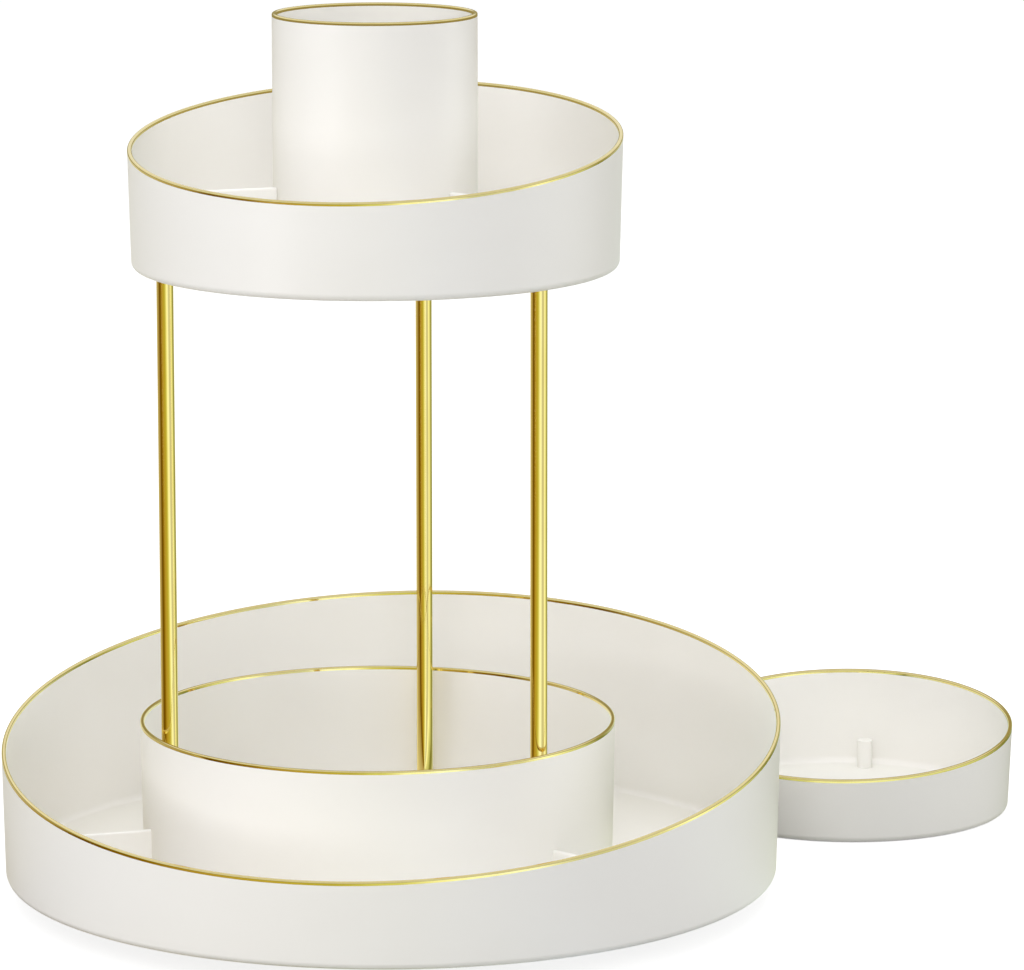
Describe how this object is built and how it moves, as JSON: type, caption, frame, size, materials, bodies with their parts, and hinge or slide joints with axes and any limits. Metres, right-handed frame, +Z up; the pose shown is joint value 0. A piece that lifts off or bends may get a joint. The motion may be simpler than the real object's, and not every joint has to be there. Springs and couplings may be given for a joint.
{
  "type": "rotating cosmetics organizer",
  "caption": "Tiered rotating cosmetics organizer: slanted-rim trays with gold edges on slender posts, a lift-out brush cup, and a loose tray beside it.",
  "frame": {"origin": "on the table, on the vertical axis that the trays turn about, at the underside of the soft cap under the pivot", "axes": "+Z up along the turning axis; +Y towards the high side of the slanted rims, which is the back; +X to the right seen from the low side"},
  "size_m": [0.3446, 0.3668, 0.3173],
  "materials": {
    "gloss_shell": "gloss moulded, cream white",
    "gold": "polished gold plating",
    "foot_plastic": "fine matt moulding",
    "foot_rubber": "soft matt rubber",
    "steel": "zinc-plated steel",
    "cage_plastic": "natural nylon"
  },
  "bodies": {
    "foot": {"foot_plate": "foot_plastic", "foot_pads": "foot_rubber", "pivot_cover": "foot_rubber"},
    "ball_race": {"bearing_balls": "steel", "ball_cage": "cage_plastic"},
    "carousel": {"rotor_plate": "foot_plastic", "pivot_washer": "steel", "pivot_screw": "steel", "post_screws": "steel", "bottom_tray": "gloss_shell", "bottom_rim_trim": "gold", "inner_ring": "gloss_shell", "inner_ring_trim": "gold", "bottom_divider_back": "gloss_shell", "bottom_divider_left": "gloss_shell", "bottom_divider_right": "gloss_shell", "post_back": "gold", "post_left": "gold", "post_right": "gold", "upper_tray": "gloss_shell", "upper_rim_trim": "gold", "upper_divider_back": "gloss_shell", "upper_divider_left": "gloss_shell", "upper_divider_right": "gloss_shell"},
    "cup": {"brush_cup": "gloss_shell", "brush_cup_trim": "gold"},
    "spare_tray": {"loose_tray": "gloss_shell", "loose_rim_trim": "gold"}
  },
  "joints": [
    {"name": "carousel_spin", "type": "hinge", "parent": "foot", "child": "carousel", "pos_m": [0, 0, 0.0085], "axis": [0, 0, 1], "continuous": true},
    {"name": "race_spin", "type": "hinge", "parent": "foot", "child": "ball_race", "pos_m": [0, 0, 0.005], "axis": [0, 0, 1], "continuous": true},
    {"name": "cup_lift", "type": "slide", "parent": "carousel", "child": "cup", "axis": [0, 0, 1], "range_m": [0, 0.08]},
    {"name": "loose_tray_lift", "type": "slide", "parent": "foot", "child": "spare_tray", "axis": [0, 0, 1], "range_m": [0, 0.1]}
  ],
  "couplings": [
    {"joint": "race_spin", "follows": "carousel_spin", "ratio": 0.5}
  ]
}
